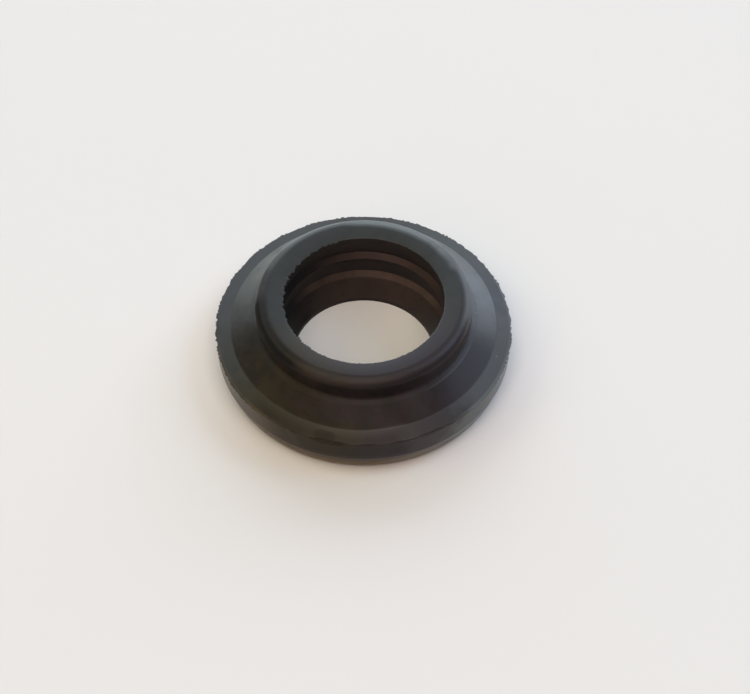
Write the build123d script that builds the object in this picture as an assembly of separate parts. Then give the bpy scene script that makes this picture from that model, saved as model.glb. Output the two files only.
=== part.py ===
from build123d import *
import os

# Nose seal of a hammer drill: one moulded ring of black rubber. A broad flange lies on the bench,
# a cone climbs from it to a shelf, and a round-shouldered neck stands on the shelf. Inside, the
# bore has two wiper ribs and, at the bottom, the lip that grips the tool's shank.
# Millimetres. The axis is +Z, and the origin is the centre of the underside.

# Flange
flange_radius = 18.5
parting_height = 5.4  # the mould's parting line, which is the flange's sharp upper edge
rim_wall = 2.7  # straight wall below the parting line
rim_draft = 0.85  # radius lost from the straight wall down to the underside
foot_rounding = 1.4

# Ledge, cone and shelf
ledge_width = 2.0
ledge_rise = 0.8
shelf_radius = 13.95
shelf_height = 7.95
shelf_rise = 0.35
shelf_edge_rounding = 0.25

# Neck
neck_radius = 13.35
total_height = 11.15
shoulder_reach = 1.45  # half-axis of the elliptical shoulder, along the radius
shoulder_drop = 1.15  # half-axis of the same ellipse, along the height
mouth_radius = 10.0
mouth_dish = 0.25  # the top face falls this much from the shoulder to the mouth

# Bore
groove_radius = 10.85
rib_radius = 10.2
rib_count = 2
first_rib_height = 7.25  # top of the upper rib's flank
rib_pitch = 3.6
rib_flank = 0.75  # height of the flank that faces up
rib_back = 0.9  # height of the flank that faces down
rib_land = 0.15  # height of the narrow band that wipes the shank
lip_radius = 8.8
lip_land = 0.6

# Trimming of the mould flash: shallow flats left by the knife along the parting line. The last
# two rows are the side where the knife bit deepest and left a bevel all along the edge.
trim_lean = 35.0  # degrees between the knife and the axis
trim_cuts = [(86.0, 0.16), (104.0, 0.07), (117.0, 0.11), (131.0, 0.07), (147.0, 0.09), (163.0, 0.06)]
trim_cuts += [(62.0, 0.07), (45.0, 0.06), (31.0, 0.09), (11.0, 0.12)]
trim_cuts += [(231.0, 0.14), (243.0, 0.24), (256.0, 0.4), (271.0, 0.3)]
trim_cuts += [(284.0, 0.26), (297.0, 0.3), (310.0, 0.2)]

# Places that follow from the sizes above
ledge_radius = flange_radius - ledge_width
ledge_height = parting_height + ledge_rise
crest_radius = neck_radius - shoulder_reach
shoulder_height = total_height - shoulder_drop
root_height = shelf_height + shelf_rise
mouth_height = total_height - mouth_dish


def outer_wall():
    """Return the polyline and fillets of the outside, from the underside up to the shoulder."""
    stations = [
        (flange_radius - rim_draft, 0.0, foot_rounding),
        (flange_radius, parting_height - rim_wall, 0.0),
        (flange_radius, parting_height, 0.0),
        (ledge_radius, ledge_height, 0.0),
        (shelf_radius, shelf_height, shelf_edge_rounding),
        (neck_radius, root_height, 0.0),
    ]
    return stations


def bore_wall():
    """Return the polyline and fillets of the bore, from the mouth down to the lip."""
    stations = [(mouth_radius, mouth_height, 0.0)]
    for rib in range(rib_count):
        flank_top = first_rib_height - rib * rib_pitch
        crest = flank_top - rib_flank
        stations.append((groove_radius, flank_top, 0.0))
        stations.append((rib_radius, crest, 0.0))
        stations.append((rib_radius, crest - rib_land, 0.0))
        if rib < rib_count - 1:
            stations.append((groove_radius, crest - rib_land - rib_back, 0.0))
    stations.append((lip_radius, lip_land, 0.0))
    stations.append((lip_radius, 0.0, 0.0))
    return stations


def run(stations, start, end):
    """Join start, the stations and end by straight lines, each station rounded by its radius."""
    points = [start] + [(radius, height) for radius, height, _ in stations] + [end]
    return FilletPolyline(*points, radius=[rounding for _, _, rounding in stations])


def section():
    """Return the half section, which the axis turns into the ring."""
    foot = ((lip_radius + flange_radius) / 2, 0.0)
    crest = (crest_radius, total_height)
    with BuildSketch(Plane.XZ) as sketch:
        with BuildLine():
            run(outer_wall(), foot, (neck_radius, shoulder_height))
            EllipticalCenterArc((crest_radius, shoulder_height), shoulder_reach, shoulder_drop, arc_size=90)
            run(bore_wall(), crest, foot)
        make_face()
    return sketch.sketch


def trim_knife(azimuth, depth):
    """Return the block that a knife leaning over the rim takes off, biting depth into its edge."""
    block = Box(flange_radius, flange_radius, flange_radius, align=(Align.MIN, Align.CENTER, Align.CENTER))
    leaning = Rot(0, -trim_lean, 0) * block
    at_edge = Pos(flange_radius - depth, 0, parting_height) * leaning
    return Rot(0, 0, azimuth) * at_edge


ring = revolve(section(), axis=Axis.Z)
for azimuth, depth in trim_cuts:
    ring -= trim_knife(azimuth, depth)

os.makedirs("parts", exist_ok=True)
export_step(ring, "parts/seal_ring.step")
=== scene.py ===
import math
import bpy
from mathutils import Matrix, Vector, noise


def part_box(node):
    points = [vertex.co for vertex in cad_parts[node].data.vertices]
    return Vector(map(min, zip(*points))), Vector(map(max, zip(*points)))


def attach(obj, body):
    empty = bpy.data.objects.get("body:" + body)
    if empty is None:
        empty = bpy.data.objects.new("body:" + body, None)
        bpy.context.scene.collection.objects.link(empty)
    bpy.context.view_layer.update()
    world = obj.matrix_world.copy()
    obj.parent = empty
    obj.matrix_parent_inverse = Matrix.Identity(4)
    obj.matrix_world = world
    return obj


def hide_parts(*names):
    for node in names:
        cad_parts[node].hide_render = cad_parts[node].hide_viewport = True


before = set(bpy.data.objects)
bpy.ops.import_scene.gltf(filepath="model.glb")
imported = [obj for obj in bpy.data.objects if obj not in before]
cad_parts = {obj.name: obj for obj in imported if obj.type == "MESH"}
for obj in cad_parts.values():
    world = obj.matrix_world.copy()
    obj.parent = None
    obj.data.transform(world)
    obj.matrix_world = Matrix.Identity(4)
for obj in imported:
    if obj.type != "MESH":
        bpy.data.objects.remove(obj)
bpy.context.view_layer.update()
bpy.ops.object.select_all(action="DESELECT")


# ---- Seal ring --------------------------------------------------------------
# The whole seal is one piece of black rubber, moulded in two halves that meet
# at the sharp upper edge of the flange. The flash there and at the mouth was
# trimmed by hand, which left small flats and ragged edges.

MM = 0.001
low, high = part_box("seal_ring")
flange_radius = (high.x - low.x) / 2
total_height = high.z

parting_height = 5.4 * MM
wall_bottom = 2.7 * MM
wall_rounding = 0.4 * MM
rim_draft = 0.85 * MM
foot_rounding = 1.4 * MM
flash_reach = 0.24 * MM
wall_radius = flange_radius - flash_reach

ledge_width = 2.0 * MM
ledge_rise = 0.8 * MM
ledge_rounding = 0.06 * MM
shelf_radius = 13.95 * MM
shelf_height = 7.95 * MM
shelf_rise = 0.35 * MM
shelf_edge_rounding = 0.25 * MM
root_rounding = 0.3 * MM

neck_radius = 13.35 * MM
shoulder_reach = 1.45 * MM
shoulder_drop = 1.15 * MM
shoulder_steps = 14
crest_radius = neck_radius - shoulder_reach
shoulder_height = total_height - shoulder_drop

mouth_radius = 10.0 * MM
mouth_dish = 0.25 * MM
mouth_flash = 0.35 * MM
mouth_flash_thickness = 0.12 * MM
mouth_height = total_height - mouth_dish

groove_radius = 10.85 * MM
groove_rounding = 0.1 * MM
rib_count = 2
rib_radius = 10.2 * MM
rib_rounding = 0.15 * MM
first_rib_height = 7.25 * MM
rib_pitch = 3.6 * MM
rib_flank = 0.75 * MM
rib_back = 0.9 * MM
lip_radius = 8.8 * MM
lip_land = 0.6 * MM
lip_rounding = 0.05 * MM

# The section is a list of stations: radius, height and rounding. They run from the underside out
# and up to the shoulder, over it, and down the bore to the lip.
stations = [(wall_radius - rim_draft, 0.0, foot_rounding), (wall_radius, wall_bottom, wall_rounding)]

# The top of the wall, the edge of the flash, and its upper side back to the ledge.
for drop in (1.2, 0.5, 0.25, 0.04):
    stations.append((wall_radius, parting_height - drop * MM, 0.0))
stations.append((flange_radius, parting_height, 0.0))
for inset, rise in ((0.02, 0.09), (0.15, 0.14), (0.35, 0.22), (0.60, 0.32)):
    stations.append((wall_radius - inset * MM, parting_height + rise * MM, 0.0))
stations.append((flange_radius - ledge_width, parting_height + ledge_rise, ledge_rounding))
stations.append((shelf_radius, shelf_height, shelf_edge_rounding))
stations.append((neck_radius, shelf_height + shelf_rise, root_rounding))

for step in range(shoulder_steps + 1):
    turn = math.pi / 2 * step / shoulder_steps
    radius = crest_radius + shoulder_reach * math.cos(turn)
    height = shoulder_height + shoulder_drop * math.sin(turn)
    stations.append((radius, height, 0.0))

# The mouth's edge: the top face, the tip of the flash, and the start of the bore below it.
for gap, rise in ((0.30, 0.041), (0.12, 0.020), (0.05, 0.010)):
    stations.append((mouth_radius + gap * MM, mouth_height + rise * MM, 0.0))
stations.append((mouth_radius - mouth_flash, mouth_height - mouth_flash_thickness / 3, 0.0))
stations.append((mouth_radius + 0.01 * MM, mouth_height - mouth_flash_thickness, 0.0))
for gap, drop in ((0.03, 0.20), (0.10, 0.40)):
    stations.append((mouth_radius + gap * MM, mouth_height - drop * MM, 0.0))

for rib in range(rib_count):
    flank_top = first_rib_height - rib * rib_pitch
    stations.append((groove_radius, flank_top, 0.0))
    stations.append((rib_radius, flank_top - rib_flank, rib_rounding))
    if rib < rib_count - 1:
        stations.append((groove_radius, flank_top - rib_flank - rib_back, groove_rounding))
stations.append((lip_radius, lip_land, lip_rounding))
stations.append((lip_radius, 0.0, 0.0))


def at(radius, height):
    """Place a point of the section, which is drawn in the XZ plane."""
    return Vector((radius, 0, height))


def pick_vertex(mesh, place):
    """Select only the vertex nearest to place, in edit mode."""
    bpy.ops.mesh.select_all(action="DESELECT")
    bpy.ops.object.mode_set(mode="OBJECT")
    nearest = min(mesh.vertices, key=lambda v: (v.co - place).length)
    nearest.select = True
    bpy.ops.object.mode_set(mode="EDIT")
    bpy.ops.mesh.select_mode(type="VERT")


# Draw the section from the middle of the underside, vertex by vertex.
start = at((lip_radius + wall_radius) / 2, 0)
bpy.ops.mesh.primitive_plane_add(size=0.1 * MM, location=start)
ring = bpy.context.object
ring.name = "seal_body"
bpy.ops.object.transform_apply(location=True, rotation=True, scale=True)
bpy.ops.object.mode_set(mode="EDIT")
bpy.ops.mesh.merge(type="CENTER")
here = start
for radius, height, _ in stations:
    there = at(radius, height)
    bpy.ops.mesh.extrude_region_move(TRANSFORM_OT_translate={"value": there - here})
    here = there
bpy.ops.mesh.extrude_region_move(TRANSFORM_OT_translate={"value": start - here})
bpy.ops.mesh.select_all(action="SELECT")
bpy.ops.mesh.remove_doubles(threshold=0.001 * MM)

# Round its corners, then turn it about the axis.
rounding_segments = 6
turn_steps = 720
for index, (radius, height, rounding) in enumerate(stations):
    if rounding == 0.0:
        continue
    before = at(*stations[index - 1][:2]) if index else start
    after = at(*stations[index + 1][:2])
    corner = at(radius, height)
    turn = (corner - before).angle(after - corner)
    pick_vertex(ring.data, corner)
    setback = rounding * math.tan(turn / 2)
    bpy.ops.mesh.bevel(offset=setback, segments=rounding_segments, affect="VERTICES")
bpy.ops.mesh.select_all(action="SELECT")
bpy.ops.mesh.spin(steps=turn_steps, angle=2 * math.pi, center=(0, 0, 0), axis=(0, 0, 1))
bpy.ops.mesh.select_all(action="SELECT")
bpy.ops.mesh.remove_doubles(threshold=0.002 * MM)
bpy.ops.mesh.normals_make_consistent(inside=False)
bpy.ops.object.mode_set(mode="OBJECT")

# Flats left by the knife, which leaned over the rim: azimuth in degrees and depth in millimetres.
trim_lean = math.tan(math.radians(35.0))
trim_cuts = [
    (11.0, 0.12), (31.0, 0.09), (45.0, 0.06), (62.0, 0.07), (86.0, 0.16), (104.0, 0.07),
    (117.0, 0.11), (131.0, 0.07), (147.0, 0.09), (163.0, 0.06), (231.0, 0.14), (243.0, 0.24),
    (256.0, 0.4), (271.0, 0.3), (284.0, 0.26), (297.0, 0.3), (310.0, 0.2),
]
cut_span = 0.9  # cosine of half the arc round the rim that one flat can reach


def smooth_step(value, low_edge, high_edge):
    """Rise smoothly from 0 at low_edge to 1 at high_edge."""
    share = min(max((value - low_edge) / (high_edge - low_edge), 0.0), 1.0)
    return share * share * (3 - 2 * share)


def ragged(azimuth, grain, seed):
    """Return a repeatable roughness between about -1 and 1 round the ring."""
    around = Vector((math.cos(azimuth), math.sin(azimuth), seed))
    return noise.fractal(around * grain, 1.0, 2.0, 3)


def knife_reach(azimuth, height):
    """Return the radius that the flats leave at this place of the rim, with the knife's waver."""
    slow_waver = 0.05 * MM * ragged(azimuth, 18.0, 9.0)
    quick_waver = 0.03 * MM * ragged(azimuth, 45.0, 13.0)
    waver = slow_waver + quick_waver
    reach = math.inf
    for cut_azimuth, depth in trim_cuts:
        swing = math.cos(azimuth - math.radians(cut_azimuth))
        if swing > cut_span:
            flat = flange_radius - depth * MM + (parting_height - height) * trim_lean
            reach = min(reach, flat / swing + waver)
    return reach


def torn_flash(azimuth):
    """Return how far the rim's saw-toothed flash is torn back. It is torn less in front."""
    behind = smooth_step(math.sin(azimuth), -0.65, -0.15)
    notch = max(1.0 - 3.5 * abs(ragged(azimuth, 24.0, 3.0)), 0.0)
    bite = 0.85 * notch + 0.15 + ragged(azimuth, 60.0, 7.0)
    return flash_reach * min(max(bite, 0.0), 1.0) * (0.25 + 0.75 * behind)


def mouth_shred(azimuth):
    """Return how far the hairs of flash stand into the mouth. They are longest on the left."""
    left = smooth_step(math.cos(azimuth - math.radians(160)), -0.1, 0.9)
    tooth = max(1.0 - 3.2 * abs(ragged(azimuth, 34.0, 11.0)), 0.0)
    shred = 0.7 * tooth + 0.8 * max(ragged(azimuth, 12.0, 5.0), 0.0)
    return mouth_flash * min(shred * (0.3 + 0.7 * left), 1.0)


# The knife moves only the vertices near the rim, and tearing only those out on the flash.
rim_inside = wall_radius - 1.0 * MM
rim_depth = 1.2 * MM
cut_flash_share = 0.75  # part of the tearing that is left where the knife has been
for vertex in ring.data.vertices:
    radius = math.hypot(vertex.co.x, vertex.co.y)
    azimuth = math.atan2(vertex.co.y, vertex.co.x)
    moved = radius
    if radius > rim_inside and abs(vertex.co.z - parting_height) < rim_depth:
        moved = min(radius, knife_reach(azimuth, vertex.co.z))
        if radius > wall_radius + 0.5 * flash_reach:
            moved -= torn_flash(azimuth) * (1.0 if moved >= radius else cut_flash_share)
    if radius < mouth_radius - 0.5 * mouth_flash and vertex.co.z > mouth_height - mouth_flash_thickness:
        moved = mouth_radius - mouth_shred(azimuth)
    vertex.co.x *= moved / radius
    vertex.co.y *= moved / radius

crease_angle = math.radians(28)
bpy.ops.object.shade_smooth_by_angle(angle=crease_angle)

# The film on the rubber, and the light and shade painted into it: where it is bloomed and lit, grimy and
# shaded, in deep shade, lit on the bore's flanks and reflecting the floor on the foot. Every mask comes
# from the place on the ring alone. In the group, distance from the axis and height are in millimetres.
film = bpy.data.node_groups.new("rubber_film_and_painted_light", "ShaderNodeTree")
coordinates = film.nodes.new("ShaderNodeTexCoord")
place = coordinates.outputs["Object"]
in_mm = film.nodes.new("ShaderNodeVectorMath")
in_mm.operation = "SCALE"
in_mm.inputs["Scale"].default_value = 1 / MM
film.links.new(place, in_mm.inputs[0])
split = film.nodes.new("ShaderNodeSeparateXYZ")
film.links.new(in_mm.outputs[0], split.inputs[0])
normal = film.nodes.new("ShaderNodeSeparateXYZ")
film.links.new(coordinates.outputs["Normal"], normal.inputs[0])
upward = normal.outputs["Z"]


def calc(operation, first, second=0.0):
    """Add a maths node to the film group and return its result."""
    node = film.nodes.new("ShaderNodeMath")
    node.operation = operation
    for socket, value in zip(node.inputs, (first, second)):
        if isinstance(value, (int, float)):
            socket.default_value = value
        else:
            film.links.new(value, socket)
    return node.outputs[0]


def both(*masks):
    """Multiply any number of masks."""
    result = masks[0]
    for mask in masks[1:]:
        result = calc("MULTIPLY", result, mask)
    return result


def most(*masks):
    """Take the strongest of any number of masks."""
    result = masks[0]
    for mask in masks[1:]:
        result = calc("MAXIMUM", result, mask)
    return result


def speckle(scale, detail, roughness):
    """Add a noise of so many cycles a metre to the film group and return its factor."""
    node = film.nodes.new("ShaderNodeTexNoise")
    node.inputs["Scale"].default_value = scale
    node.inputs["Detail"].default_value = detail
    node.inputs["Roughness"].default_value = roughness
    film.links.new(place, node.inputs["Vector"])
    return node.outputs["Fac"]


def ease(value, none, full):
    """Go smoothly from 0 where value is none to 1 where it is full, whichever is the greater."""
    node = film.nodes.new("ShaderNodeMapRange")
    node.interpolation_type = "SMOOTHSTEP"
    film.links.new(value, node.inputs["Value"])
    node.inputs["From Min"].default_value = min(none, full)
    node.inputs["From Max"].default_value = max(none, full)
    node.inputs["To Min"].default_value = 0.0 if none < full else 1.0
    node.inputs["To Max"].default_value = 1.0 if none < full else 0.0
    return node.outputs["Result"]


def band(value, start, end, soft):
    """Give 1 where value lies between start and end, falling off over soft on either side."""
    return both(ease(value, start - soft, start + soft), ease(value, end + soft, end - soft))


# Broad patches, finer clouds and the grain of the rubber, then the place on the ring.
patch = speckle(170.0, 3.0, 0.55)
cloud = speckle(420.0, 4.0, 0.6)
grain = speckle(9000.0, 2.0, 0.5)
unevenness = calc("SUBTRACT", patch, 0.5)
across = calc("MULTIPLY", split.outputs["X"], split.outputs["X"])
along = calc("MULTIPLY", split.outputs["Y"], split.outputs["Y"])
distance = calc("SQRT", calc("ADD", across, along))
height = split.outputs["Z"]
wander = calc("MULTIPLY", unevenness, 0.5)
uneven_distance = calc("ADD", distance, calc("MULTIPLY", unevenness, 1.2))


def facing(azimuth):
    """Give 1 on the side of the ring that looks to azimuth, -1 on the far side, with uneven edges."""
    turn = math.radians(azimuth)
    share_x = calc("MULTIPLY", calc("DIVIDE", split.outputs["X"], distance), math.cos(turn))
    share_y = calc("MULTIPLY", calc("DIVIDE", split.outputs["Y"], distance), math.sin(turn))
    return calc("ADD", calc("ADD", share_x, share_y), wander)


def side(azimuth, none, full):
    """Mask the side of the ring that looks to azimuth, between two values of facing."""
    return ease(facing(azimuth), none, full)


def spot(azimuth, radius, rise):
    """Give the distance to one place on the ring, which is named in degrees and millimetres."""
    turn = math.radians(azimuth)
    node = film.nodes.new("ShaderNodeVectorMath")
    node.operation = "DISTANCE"
    film.links.new(in_mm.outputs[0], node.inputs[0])
    node.inputs[1].default_value = (radius * math.cos(turn), radius * math.sin(turn), rise)
    return node.outputs["Value"]


# Parts of the ring, by their distance and height.
cone = band(distance, 14.0, 16.5, 0.12)
shelf = both(band(distance, 13.3, 14.2, 0.15), ease(height, 8.5, 8.4))
neck_wall = both(ease(distance, 12.8, 13.1), ease(height, 10.8, 10.1), ease(height, 8.3, 8.5))
neck_top = ease(height, 9.9, 10.2)
rim = band(distance, 16.5, 18.2, 0.1)
flange_wall = ease(distance, 18.0, 18.1)
bore = both(ease(distance, 10.95, 10.85), ease(height, 10.9, 10.5))

# Painted deep shade, a dull black on the left of the shoulder and in the bore.
hard_deep_shade = both(ease(distance, 12.3, 13.0), side(200, 0.80, 1.0), 0.9)
soft_deep_shade = both(ease(distance, 11.5, 12.4), ease(distance, 13.15, 12.75), side(197, 0.72, 1.0), 0.55)
bore_deep_shade = both(bore, side(165, 0.75, 1.0), 0.6)
deep_shade = most(both(most(hard_deep_shade, soft_deep_shade), neck_top), bore_deep_shade)

# Grime and painted shade, an oily brown that takes the sheen from the front and left. The stains and the
# cloudy patches on the cone are dirt. The rest is painted shade: on the sides away from the window, at the
# neck's root, under the ribs, and over highlights on the shoulder and rim.
shaded_side = most(side(240, 0.50, 0.74), side(272, 0.72, 1.0))
cone_grime_and_shade = both(cone, ease(uneven_distance, 16.8, 16.3), ease(cloud, 0.0, 0.35), shaded_side, 0.66)
shelf_shade = both(shelf, shaded_side, 0.58)
neck_edge = both(ease(distance, 12.95, 13.10), band(height, 9.95, 10.6, 0.12))
neck_shade = both(neck_wall, side(248, 0.30, 0.80), 0.75)
neck_shade = most(neck_shade, both(neck_edge, side(315, 0.84, 0.97), 0.35))
shoulder_shade = both(band(distance, 12.4, 13.0, 0.25), neck_top, side(270, 0.80, 0.95), 0.35)
bore_shade = both(bore, ease(upward, 0.35, 0.10), 0.48)
front_rim = both(ease(distance, 16.2, 17.8), side(250, 0.80, 0.95))
rim_shade = both(rim, most(front_rim, both(side(110, 0.5, 0.9), 0.45)), 0.45)
wall_shade = both(flange_wall, band(height, 3.0, 5.5, 0.5), side(254, 0.83, 0.96), 0.4)
stain = calc("MULTIPLY", calc("SUBTRACT", cloud, 0.5), 0.8)
for azimuth in (251.0, 254.3, 257.6):
    stain = calc("ADD", stain, ease(spot(azimuth, 17.6, 5.7), 1.4, 0.1))
stain = both(ease(stain, 0.30, 1.10), ease(distance, 18.15, 18.0), 0.6)
grime_and_shade = most(cone_grime_and_shade, shelf_shade, neck_shade, shoulder_shade, bore_shade)
grime_and_shade = most(grime_and_shade, rim_shade, wall_shade, stain, deep_shade)

# Bloom and painted highlight: a grey film like the bloom that old rubber sweats out, laid mostly at the
# rear and right where the window light falls, so it stands for the highlights and reflections there. It is
# left off in front. The thin grey lines on the shelf and ledge edges are painted highlights, and the nicks
# show the same grey.
thinning = calc("SUBTRACT", 1.0, calc("MULTIPLY", ease(distance, 15.0, 16.5), 0.2))
cone_highlight = both(most(cone, both(shelf, 0.78)), thinning, side(264, 0.25, -0.55), ease(cloud, 0.0, 0.55))
neck_highlight = both(neck_wall, side(264, 0.45, -0.55), 0.6)
shoulder_highlight = most(side(90, 0.33, 0.80), both(side(10, 0.84, 0.98), 0.44))
shoulder_highlight = both(shoulder_highlight, band(distance, 12.5, 13.7, 0.3), neck_top)
right_highlight = both(band(distance, 11.75, 13.7, 0.4), neck_top, side(62, 0.74, 0.95), 0.95)
flat_highlight = both(ease(distance, 12.2, 11.8), ease(height, 10.4, 10.7), side(70, -0.70, 0.30), 0.09)
rim_highlight = both(rim, most(both(side(340, 0.80, 0.98), 0.35), both(side(196, 0.90, 0.99), 0.10)))
wall_highlight = both(flange_wall, most(side(328, 0.86, 0.98), both(side(352, 0.72, 0.95), 0.8)), 0.72)
shelf_edge_highlight = both(band(distance, 13.87, 14.03, 0.08), side(328, 0.86, 0.98), 0.25)
ledge_edge_highlight = both(band(distance, 16.42, 16.58, 0.08), side(320, 0.50, 0.90), 0.15)
nicks = [spot(3, 13.55, 8.25), spot(5, 13.4, 8.6), spot(0.5, 13.9, 8.0), spot(342.5, 17.1, 5.97)]
nick_marks = most(*[ease(nick, 0.16, 0.08) for nick in nicks])
bloom_highlight = most(cone_highlight, neck_highlight, shoulder_highlight, right_highlight, flat_highlight)
bloom_highlight = most(bloom_highlight, rim_highlight, wall_highlight, shelf_edge_highlight, ledge_edge_highlight, nick_marks)

# Painted light, a dusty brown, on the ribs and the funnel where they look up on the far side of the bore,
# and a painted reflection of the floor, tan, on the foot and the left of the wall.
lit_rib = both(ease(height, 4.8, 5.2), side(62, 0.45, 0.90), 0.34)
lit_groove = both(band(height, 2.95, 5.0, 0.15), side(70, 0.10, 0.75), 0.75)
lit_funnel = both(ease(height, 3.1, 2.8), side(75, 0.40, 0.90), 0.30)
lit_flanks = both(bore, ease(upward, 0.15, 0.45), most(lit_rib, lit_groove, lit_funnel), ease(cloud, 0.0, 0.8))
foot_reflection = both(ease(distance, 17.0, 17.4), ease(height, 3.0, 0.4), side(256, 0.60, 0.95))
wall_reflection = both(flange_wall, side(212, 0.85, 0.98), 0.18)
floor_reflection = both(most(foot_reflection, wall_reflection), ease(cloud, 0.15, 0.50))

# Painted coloured light: the warm light cast is where the bare black takes the warm colour of the room
# light, in front and in the bore, and the violet light cast turns that from brown to violet towards the
# right front and in the bore.
warm_light_cast = most(side(280, 0.0, 0.70), bore)
violet_light_cast = ease(calc("ADD", calc("MULTIPLY", facing(330), 0.6), cloud), 0.25, 0.95)
violet_light_cast = both(violet_light_cast, most(side(310, 0.60, 0.90), ease(uneven_distance, 16.2, 15.4)))
violet_light_cast = most(violet_light_cast, both(bore, 0.8))
mottle = ease(cloud, 0.35, 0.65)

marks = {"BloomHighlight": bloom_highlight, "GrimeAndShade": grime_and_shade, "DeepShade": deep_shade, "LitFlanks": lit_flanks, "FloorReflection": floor_reflection}
marks.update({"WarmLightCast": warm_light_cast, "Tint": violet_light_cast, "Grain": grain, "Mottle": mottle})
for name in marks:
    film.interface.new_socket(name=name, in_out="OUTPUT", socket_type="NodeSocketFloat")
outlet = film.nodes.new("NodeGroupOutput")
for name, mask in marks.items():
    film.links.new(mask, outlet.inputs[name])

deep_black = (0.018, 0.0195, 0.0185, 1)
grey_black = (0.023, 0.024, 0.024, 1)
# Colours of painted light on the bare black: warm in front, violet to the right.
warm_lit_brown = (0.026, 0.019, 0.009, 1)
violet_lit_black = (0.022, 0.0165, 0.019, 1)
# The grey of the painted highlight, as a bloom film.
bloom_highlight_grey = (0.103, 0.118, 0.118, 1)
# Colours of oily grime and painted shade. The violet is a painted cast of light.
oil_and_shade_black = (0.008, 0.006, 0.005, 1)
oil_and_shade_brown = (0.022, 0.015, 0.006, 1)
oil_and_shade_violet = (0.022, 0.011, 0.015, 1)
# The colour of painted deep shade.
deep_shade_black = (0.008, 0.008, 0.008, 1)
# The dusty brown of painted light on the bore's flanks.
lit_flank_brown = (0.104, 0.069, 0.053, 1)
# The tan of the painted reflection of the floor.
floor_reflection_tan = (0.170, 0.120, 0.062, 1)

rubber = bpy.data.materials.new("black_rubber")
rubber.use_nodes = True
nodes = rubber.node_tree.nodes
links = rubber.node_tree.links
surface = nodes["Principled BSDF"]
film_node = nodes.new("ShaderNodeGroup")
film_node.node_tree = film
marked = film_node.outputs


def blend(kind, factor, first, second):
    """Mix two values (FLOAT) or colours (RGBA) of the rubber by factor and return the result."""
    node = nodes.new("ShaderNodeMix")
    node.data_type = kind
    links.new(factor, node.inputs[0])
    ends = {"FLOAT": (2, 3), "RGBA": (6, 7)}[kind]  # the Mix node's sockets A and B for each kind
    for end, value in zip(ends, (first, second)):
        if isinstance(value, (float, tuple)):
            node.inputs[end].default_value = value
        else:
            links.new(value, node.inputs[end])
    return node.outputs[0 if kind == "FLOAT" else 2]


clean = blend("RGBA", marked["Mottle"], deep_black, grey_black)
# Painted warm and violet light on the bare black.
warm = blend("RGBA", marked["Tint"], warm_lit_brown, violet_lit_black)
warm_lit = blend("RGBA", marked["WarmLightCast"], clean, warm)
# Painted highlight, as a grey bloom film.
bloom_lit = blend("RGBA", marked["BloomHighlight"], warm_lit, bloom_highlight_grey)
# Painted shade, with oily streaks of grime.
oil_and_shade = blend("RGBA", marked["Tint"], oil_and_shade_brown, oil_and_shade_violet)
oil_and_shade_streaks = blend("RGBA", marked["Mottle"], oil_and_shade_black, oil_and_shade)
grimed_and_shaded = blend("RGBA", marked["GrimeAndShade"], bloom_lit, oil_and_shade_streaks)
# Painted deep shade.
deep_shaded = blend("RGBA", marked["DeepShade"], grimed_and_shaded, deep_shade_black)
# Painted light on the bore's up-facing flanks.
flank_lit = blend("RGBA", marked["LitFlanks"], deep_shaded, lit_flank_brown)
# Painted reflection of the floor on the foot and wall.
colour = blend("RGBA", marked["FloorReflection"], flank_lit, floor_reflection_tan)
links.new(colour, surface.inputs["Base Color"])

# The rubber's dull sheen is a thin coat, which the grime and the painted shade take away.
surface.inputs["IOR"].default_value = 1.40
surface.inputs["Specular IOR Level"].default_value = 0.08
surface.inputs["Coat IOR"].default_value = 1.33
surface.inputs["Coat Roughness"].default_value = 0.40
links.new(blend("FLOAT", marked["GrimeAndShade"], 1.0, 0.0), surface.inputs["Coat Weight"])
links.new(blend("FLOAT", marked["GrimeAndShade"], 0.40, 0.67), surface.inputs["Roughness"])
relief = nodes.new("ShaderNodeBump")
relief.inputs["Strength"].default_value = 0.25
relief.inputs["Distance"].default_value = 0.02 * MM
links.new(marked["Grain"], relief.inputs["Height"])
links.new(relief.outputs["Normal"], surface.inputs["Normal"])
ring.data.materials.append(rubber)

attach(ring, "root")
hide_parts("seal_ring")


# ---- Floor, light and camera --------------------------------------------------
# A pale sheet of paper, daylight from a window behind the ring and to its right,
# and a weaker warm room light from the front.

bpy.ops.object.select_all(action="DESELECT")
bpy.ops.mesh.primitive_plane_add(size=3.0, location=(0, 0, 0))
floor = bpy.context.object
floor.name = "floor"
paper = bpy.data.materials.new("pale_paper")
paper.use_nodes = True
sheet = paper.node_tree.nodes["Principled BSDF"]
sheet.inputs["Base Color"].default_value = (0.76, 0.76, 0.76, 1)
sheet.inputs["Roughness"].default_value = 0.9
floor.data.materials.append(paper)

brightness = 0.96  # of all the lamps together


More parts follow.
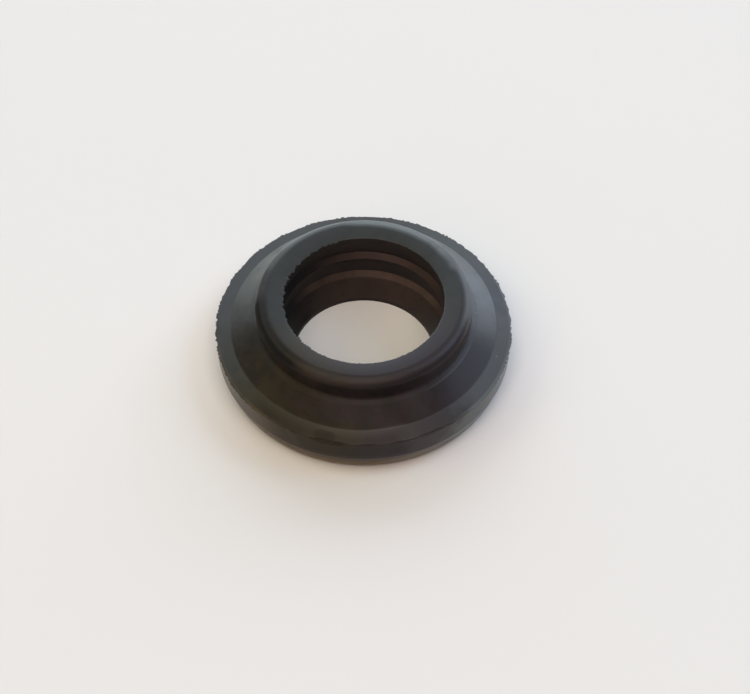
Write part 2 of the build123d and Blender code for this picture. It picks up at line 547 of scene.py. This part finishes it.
def lamp(name, size, azimuth, elevation, distance, radiance):
    """Add a soft lamp that looks at the ring from azimuth, in degrees from +X. Sizes are in metres."""
    turn = math.radians(azimuth)
    rise = math.radians(elevation)
    way = Vector((math.cos(rise) * math.cos(turn), math.cos(rise) * math.sin(turn), math.sin(rise)))
    light = bpy.data.lights.new(name, "AREA")
    light.shape = "RECTANGLE"
    light.size, light.size_y = size
    light.energy = brightness * max(radiance) * math.pi * size[0] * size[1]
    light.color = [part / max(radiance) for part in radiance]
    holder = bpy.data.objects.new(name, light)
    holder.location = way * distance
    holder.rotation_euler = (-way).to_track_quat("-Z", "Y").to_euler()
    bpy.context.scene.collection.objects.link(holder)


lamp("window", (0.8, 0.9), 45, 16, 1.4, (2.35, 2.54, 3.28))
lamp("window_high", (0.7, 0.8), 15, 45, 1.4, (1.90, 2.51, 3.21))
lamp("far_wall", (1.6, 0.9), 92, 26, 1.5, (2.38, 2.75, 3.10))
lamp("far_corner", (0.9, 0.9), 138, 24, 1.4, (1.00, 1.09, 1.18))
lamp("ceiling", (1.0, 1.0), 270, 78, 1.4, (2.80, 2.45, 2.25))
lamp("near_wall", (0.8, 0.8), 180, 45, 1.4, (1.77, 1.80, 1.15))
lamp("room_left", (0.9, 0.7), 225, 30, 1.4, (0.99, 0.50, 0.42))
lamp("room", (0.9, 0.7), 255, 30, 1.4, (0.71, 0.45, 0.48))
lamp("room_ceiling", (1.2, 0.7), 270, 60, 1.4, (1.50, 1.30, 0.90))

world = bpy.data.worlds.new("room_air")
world.use_nodes = True
air = world.node_tree.nodes["Background"]
air.inputs["Color"].default_value = (0.9, 0.92, 1.0, 1)
air.inputs["Strength"].default_value = 0.02
bpy.context.scene.world = world

camera_elevation = math.radians(51.55)
camera_azimuth = math.radians(0.42)
camera_distance = 0.3157
aim = Vector((1.42 * MM, 1.18 * MM, 0))
towards = Vector((
    math.cos(camera_elevation) * math.sin(camera_azimuth),
    math.cos(camera_elevation) * math.cos(camera_azimuth),
    -math.sin(camera_elevation),
))
camera = bpy.data.objects.new("camera", bpy.data.cameras.new("camera"))
camera.data.lens = 120
camera.data.sensor_width = 36
camera.location = aim - towards * camera_distance
camera.rotation_euler = towards.to_track_quat("-Z", "Y").to_euler()
bpy.context.scene.collection.objects.link(camera)
bpy.context.scene.camera = camera
bpy.context.scene.view_settings.view_transform = "Standard"
